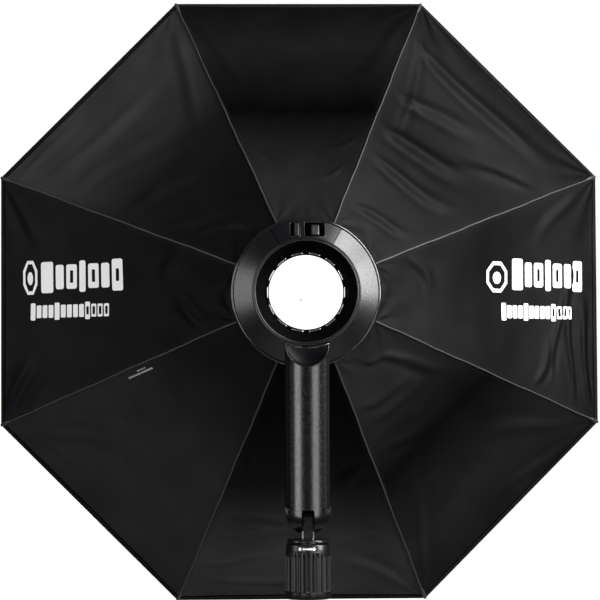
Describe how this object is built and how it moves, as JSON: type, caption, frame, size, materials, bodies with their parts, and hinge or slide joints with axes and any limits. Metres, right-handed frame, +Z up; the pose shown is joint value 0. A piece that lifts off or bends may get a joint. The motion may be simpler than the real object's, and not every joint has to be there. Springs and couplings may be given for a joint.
{
  "type": "studio softbox",
  "caption": "Collapsible octagonal softbox with a round quick-mount hub, hinged ribs, white front diffuser and a handle with a tilting stand adapter.",
  "frame": {"origin": "centre of the flash socket's mouth, on the light's axis", "axes": "+Y is the way the light leaves, -Y faces the flash head, +Z is up, +X is to the right seen from behind"},
  "size_m": [0.7398, 0.2744, 0.7398],
  "materials": {
    "cover_grey": "fine grained",
    "gloss_black": "glossy",
    "socket_black": "satin",
    "plated_steel": "polished",
    "inner_white": "satin",
    "button_grey": "satin",
    "handle_grey": "fine grained",
    "spine_aluminium": "satin",
    "washer_brass": "satin",
    "stem_black": "satin",
    "collar_black": "satin",
    "rib_metal": "anodised",
    "black_cloth": "satin nylon",
    "white_cloth": "translucent matt"
  },
  "bodies": {
    "hub": {"rear_cover": "cover_grey", "latch_cover": "cover_grey", "trim_ring": "gloss_black", "socket_collar": "socket_black", "magnet_segments": "plated_steel", "base_plate": "socket_black", "fabric_clamp_ring": "gloss_black", "hub_carrier": "socket_black", "hinge_pins": "plated_steel", "front_cover": "inner_white", "hub_screws": "plated_steel", "button_spring": "plated_steel", "handle_rear_shell": "handle_grey", "handle_front_shell": "handle_grey", "handle_screws": "plated_steel", "handle_spine": "spine_aluminium", "tilt_axle": "plated_steel", "friction_washers": "washer_brass"},
    "release_button": {"release_button": "button_grey"},
    "latch_slider": {"latch_slider": "button_grey"},
    "stand_adapter": {"tilt_stem": "stem_black", "cap_ring": "gloss_black", "socket_bush": "spine_aluminium"},
    "lock_collar": {"lock_collar": "collar_black"},
    "rib_1": {"rib_1": "rib_metal"},
    "rib_2": {"rib_2": "rib_metal"},
    "rib_3": {"rib_3": "rib_metal"},
    "rib_4": {"rib_4": "rib_metal"},
    "rib_5": {"rib_5": "rib_metal"},
    "rib_6": {"rib_6": "rib_metal"},
    "rib_7": {"rib_7": "rib_metal"},
    "rib_8": {"rib_8": "rib_metal"},
    "cloth_1_ccw": {"cloth_1_ccw": "black_cloth"},
    "cloth_1_cw": {"cloth_1_cw": "black_cloth"},
    "diffuser_1": {"diffuser_1": "white_cloth"},
    "cloth_2_ccw": {"cloth_2_ccw": "black_cloth"},
    "cloth_2_cw": {"cloth_2_cw": "black_cloth"},
    "diffuser_2": {"diffuser_2": "white_cloth"},
    "cloth_3_ccw": {"cloth_3_ccw": "black_cloth"},
    "cloth_3_cw": {"cloth_3_cw": "black_cloth"},
    "diffuser_3": {"diffuser_3": "white_cloth"},
    "cloth_4_ccw": {"cloth_4_ccw": "black_cloth"},
    "cloth_4_cw": {"cloth_4_cw": "black_cloth"},
    "diffuser_4": {"diffuser_4": "white_cloth"},
    "cloth_5_ccw": {"cloth_5_ccw": "black_cloth"},
    "cloth_5_cw": {"cloth_5_cw": "black_cloth"},
    "diffuser_5": {"diffuser_5": "white_cloth"},
    "cloth_6_ccw": {"cloth_6_ccw": "black_cloth"},
    "cloth_6_cw": {"cloth_6_cw": "black_cloth"},
    "diffuser_6": {"diffuser_6": "white_cloth"},
    "cloth_7_ccw": {"cloth_7_ccw": "black_cloth"},
    "cloth_7_cw": {"cloth_7_cw": "black_cloth"},
    "diffuser_7": {"diffuser_7": "white_cloth"},
    "cloth_8_ccw": {"cloth_8_ccw": "black_cloth"},
    "cloth_8_cw": {"cloth_8_cw": "black_cloth"},
    "diffuser_8": {"diffuser_8": "white_cloth"}
  },
  "joints": [
    {"name": "rib_1_fold", "type": "hinge", "parent": "hub", "child": "rib_1", "pos_m": [0.06467, 0.022, 0.02679], "axis": [-0.3827, 0, 0.9239], "range_deg": [0, 55], "deforming": ["cloth_1_cw", "cloth_1_ccw", "diffuser_1", "cloth_2_cw", "cloth_2_ccw", "diffuser_2", "cloth_3_cw", "cloth_3_ccw", "diffuser_3", "cloth_4_cw", "cloth_4_ccw", "diffuser_4", "cloth_5_cw", "cloth_5_ccw", "diffuser_5", "cloth_6_cw", "cloth_6_ccw", "diffuser_6", "cloth_7_cw", "cloth_7_ccw", "diffuser_7", "cloth_8_cw", "cloth_8_ccw", "diffuser_8"]},
    {"name": "rib_2_fold", "type": "hinge", "parent": "hub", "child": "rib_2", "pos_m": [0.02679, 0.022, 0.06467], "axis": [-0.9239, 0, 0.3827], "range_deg": [0, 55]},
    {"name": "rib_3_fold", "type": "hinge", "parent": "hub", "child": "rib_3", "pos_m": [-0.02679, 0.022, 0.06467], "axis": [-0.9239, 0, -0.3827], "range_deg": [0, 55]},
    {"name": "rib_4_fold", "type": "hinge", "parent": "hub", "child": "rib_4", "pos_m": [-0.06467, 0.022, 0.02679], "axis": [-0.3827, 0, -0.9239], "range_deg": [0, 55]},
    {"name": "rib_5_fold", "type": "hinge", "parent": "hub", "child": "rib_5", "pos_m": [-0.06467, 0.022, -0.02679], "axis": [0.3827, 0, -0.9239], "range_deg": [0, 55]},
    {"name": "rib_6_fold", "type": "hinge", "parent": "hub", "child": "rib_6", "pos_m": [-0.02679, 0.022, -0.06467], "axis": [0.9239, 0, -0.3827], "range_deg": [0, 55]},
    {"name": "rib_7_fold", "type": "hinge", "parent": "hub", "child": "rib_7", "pos_m": [0.02679, 0.022, -0.06467], "axis": [0.9239, 0, 0.3827], "range_deg": [0, 55]},
    {"name": "rib_8_fold", "type": "hinge", "parent": "hub", "child": "rib_8", "pos_m": [0.06467, 0.022, -0.02679], "axis": [0.3827, 0, 0.9239], "range_deg": [0, 55]},
    {"name": "cloth_1_ccw_pleat", "type": "hinge", "parent": "rib_1", "child": "cloth_1_ccw", "pos_m": [0.07945, 0.02332, 0.03291], "axis": [0.7604, 0.568, 0.315], "range_deg": [0, 69]},
    {"name": "cloth_1_cw_pleat", "type": "hinge", "parent": "rib_1", "child": "cloth_1_cw", "pos_m": [0.07945, 0.02332, 0.03291], "axis": [-0.7604, -0.568, -0.315], "range_deg": [0, 69]},
    {"name": "diffuser_1_fold", "type": "hinge", "parent": "rib_1", "child": "diffuser_1", "pos_m": [0.36216, 0.239, 0.15001], "axis": [-0.3827, 0, 0.9239], "range_deg": [0, 34.9]},
    {"name": "cloth_2_ccw_pleat", "type": "hinge", "parent": "rib_2", "child": "cloth_2_ccw", "pos_m": [0.03291, 0.02332, 0.07945], "axis": [0.315, 0.568, 0.7604], "range_deg": [0, 69]},
    {"name": "cloth_2_cw_pleat", "type": "hinge", "parent": "rib_2", "child": "cloth_2_cw", "pos_m": [0.03291, 0.02332, 0.07945], "axis": [-0.315, -0.568, -0.7604], "range_deg": [0, 69]},
    {"name": "diffuser_2_fold", "type": "hinge", "parent": "rib_2", "child": "diffuser_2", "pos_m": [0.15001, 0.239, 0.36216], "axis": [-0.9239, 0, 0.3827], "range_deg": [0, 34.9]},
    {"name": "cloth_3_ccw_pleat", "type": "hinge", "parent": "rib_3", "child": "cloth_3_ccw", "pos_m": [-0.03291, 0.02332, 0.07945], "axis": [-0.315, 0.568, 0.7604], "range_deg": [0, 69]},
    {"name": "cloth_3_cw_pleat", "type": "hinge", "parent": "rib_3", "child": "cloth_3_cw", "pos_m": [-0.03291, 0.02332, 0.07945], "axis": [0.315, -0.568, -0.7604], "range_deg": [0, 69]},
    {"name": "diffuser_3_fold", "type": "hinge", "parent": "rib_3", "child": "diffuser_3", "pos_m": [-0.15001, 0.239, 0.36216], "axis": [-0.9239, 0, -0.3827], "range_deg": [0, 34.9]},
    {"name": "cloth_4_ccw_pleat", "type": "hinge", "parent": "rib_4", "child": "cloth_4_ccw", "pos_m": [-0.07945, 0.02332, 0.03291], "axis": [-0.7604, 0.568, 0.315], "range_deg": [0, 69]},
    {"name": "cloth_4_cw_pleat", "type": "hinge", "parent": "rib_4", "child": "cloth_4_cw", "pos_m": [-0.07945, 0.02332, 0.03291], "axis": [0.7604, -0.568, -0.315], "range_deg": [0, 69]},
    {"name": "diffuser_4_fold", "type": "hinge", "parent": "rib_4", "child": "diffuser_4", "pos_m": [-0.36216, 0.239, 0.15001], "axis": [-0.3827, 0, -0.9239], "range_deg": [0, 34.9]},
    {"name": "cloth_5_ccw_pleat", "type": "hinge", "parent": "rib_5", "child": "cloth_5_ccw", "pos_m": [-0.07945, 0.02332, -0.03291], "axis": [-0.7604, 0.568, -0.315], "range_deg": [0, 69]},
    {"name": "cloth_5_cw_pleat", "type": "hinge", "parent": "rib_5", "child": "cloth_5_cw", "pos_m": [-0.07945, 0.02332, -0.03291], "axis": [0.7604, -0.568, 0.315], "range_deg": [0, 69]},
    {"name": "diffuser_5_fold", "type": "hinge", "parent": "rib_5", "child": "diffuser_5", "pos_m": [-0.36216, 0.239, -0.15001], "axis": [0.3827, 0, -0.9239], "range_deg": [0, 34.9]},
    {"name": "cloth_6_ccw_pleat", "type": "hinge", "parent": "rib_6", "child": "cloth_6_ccw", "pos_m": [-0.03291, 0.02332, -0.07945], "axis": [-0.315, 0.568, -0.7604], "range_deg": [0, 69]},
    {"name": "cloth_6_cw_pleat", "type": "hinge", "parent": "rib_6", "child": "cloth_6_cw", "pos_m": [-0.03291, 0.02332, -0.07945], "axis": [0.315, -0.568, 0.7604], "range_deg": [0, 69]},
    {"name": "diffuser_6_fold", "type": "hinge", "parent": "rib_6", "child": "diffuser_6", "pos_m": [-0.15001, 0.239, -0.36216], "axis": [0.9239, 0, -0.3827], "range_deg": [0, 34.9]},
    {"name": "cloth_7_ccw_pleat", "type": "hinge", "parent": "rib_7", "child": "cloth_7_ccw", "pos_m": [0.03291, 0.02332, -0.07945], "axis": [0.315, 0.568, -0.7604], "range_deg": [0, 69]},
    {"name": "cloth_7_cw_pleat", "type": "hinge", "parent": "rib_7", "child": "cloth_7_cw", "pos_m": [0.03291, 0.02332, -0.07945], "axis": [-0.315, -0.568, 0.7604], "range_deg": [0, 69]},
    {"name": "diffuser_7_fold", "type": "hinge", "parent": "rib_7", "child": "diffuser_7", "pos_m": [0.15001, 0.239, -0.36216], "axis": [0.9239, 0, 0.3827], "range_deg": [0, 34.9]},
    {"name": "cloth_8_ccw_pleat", "type": "hinge", "parent": "rib_8", "child": "cloth_8_ccw", "pos_m": [0.07945, 0.02332, -0.03291], "axis": [0.7604, 0.568, -0.315], "range_deg": [0, 69]},
    {"name": "cloth_8_cw_pleat", "type": "hinge", "parent": "rib_8", "child": "cloth_8_cw", "pos_m": [0.07945, 0.02332, -0.03291], "axis": [-0.7604, -0.568, 0.315], "range_deg": [0, 69]},
    {"name": "diffuser_8_fold", "type": "hinge", "parent": "rib_8", "child": "diffuser_8", "pos_m": [0.36216, 0.239, -0.15001], "axis": [0.3827, 0, 0.9239], "range_deg": [0, 34.9]},
    {"name": "stand_tilt", "type": "hinge", "parent": "hub", "child": "stand_adapter", "pos_m": [0, -0.008, -0.256], "axis": [-1, 0, 0], "range_deg": [0, 90]},
    {"name": "collar_lock", "type": "hinge", "parent": "stand_adapter", "child": "lock_collar", "pos_m": [0, -0.008, -0.315], "axis": [0, 0, 1], "range_deg": [0, 60]},
    {"name": "release_press", "type": "slide", "parent": "hub", "child": "release_button", "axis": [0, 1, 0], "range_m": [0, 0.0025], "stiffness_N_per_m": 500, "springref_m": -0.002, "deforming": ["button_spring"]},
    {"name": "latch_slide", "type": "slide", "parent": "hub", "child": "latch_slider", "axis": [1, 0, 0], "range_m": [-0.006, 0.004]}
  ],
  "couplings": [
    {"joint": "rib_2_fold", "follows": "rib_1_fold", "ratio": 1},
    {"joint": "rib_3_fold", "follows": "rib_1_fold", "ratio": 1},
    {"joint": "rib_4_fold", "follows": "rib_1_fold", "ratio": 1},
    {"joint": "rib_5_fold", "follows": "rib_1_fold", "ratio": 1},
    {"joint": "rib_6_fold", "follows": "rib_1_fold", "ratio": 1},
    {"joint": "rib_7_fold", "follows": "rib_1_fold", "ratio": 1},
    {"joint": "rib_8_fold", "follows": "rib_1_fold", "ratio": 1},
    {"joint": "cloth_1_ccw_pleat", "follows": "rib_1_fold", "ratio": 1.2455},
    {"joint": "cloth_1_cw_pleat", "follows": "rib_1_fold", "ratio": 1.2455},
    {"joint": "diffuser_1_fold", "follows": "rib_1_fold", "ratio": 0.62545},
    {"joint": "cloth_2_ccw_pleat", "follows": "rib_1_fold", "ratio": 1.2455},
    {"joint": "cloth_2_cw_pleat", "follows": "rib_1_fold", "ratio": 1.2455},
    {"joint": "diffuser_2_fold", "follows": "rib_1_fold", "ratio": 0.62545},
    {"joint": "cloth_3_ccw_pleat", "follows": "rib_1_fold", "ratio": 1.2455},
    {"joint": "cloth_3_cw_pleat", "follows": "rib_1_fold", "ratio": 1.2455},
    {"joint": "diffuser_3_fold", "follows": "rib_1_fold", "ratio": 0.62545},
    {"joint": "cloth_4_ccw_pleat", "follows": "rib_1_fold", "ratio": 1.2455},
    {"joint": "cloth_4_cw_pleat", "follows": "rib_1_fold", "ratio": 1.2455},
    {"joint": "diffuser_4_fold", "follows": "rib_1_fold", "ratio": 0.62545},
    {"joint": "cloth_5_ccw_pleat", "follows": "rib_1_fold", "ratio": 1.2455},
    {"joint": "cloth_5_cw_pleat", "follows": "rib_1_fold", "ratio": 1.2455},
    {"joint": "diffuser_5_fold", "follows": "rib_1_fold", "ratio": 0.62545},
    {"joint": "cloth_6_ccw_pleat", "follows": "rib_1_fold", "ratio": 1.2455},
    {"joint": "cloth_6_cw_pleat", "follows": "rib_1_fold", "ratio": 1.2455},
    {"joint": "diffuser_6_fold", "follows": "rib_1_fold", "ratio": 0.62545},
    {"joint": "cloth_7_ccw_pleat", "follows": "rib_1_fold", "ratio": 1.2455},
    {"joint": "cloth_7_cw_pleat", "follows": "rib_1_fold", "ratio": 1.2455},
    {"joint": "diffuser_7_fold", "follows": "rib_1_fold", "ratio": 0.62545},
    {"joint": "cloth_8_ccw_pleat", "follows": "rib_1_fold", "ratio": 1.2455},
    {"joint": "cloth_8_cw_pleat", "follows": "rib_1_fold", "ratio": 1.2455},
    {"joint": "diffuser_8_fold", "follows": "rib_1_fold", "ratio": 0.62545}
  ]
}
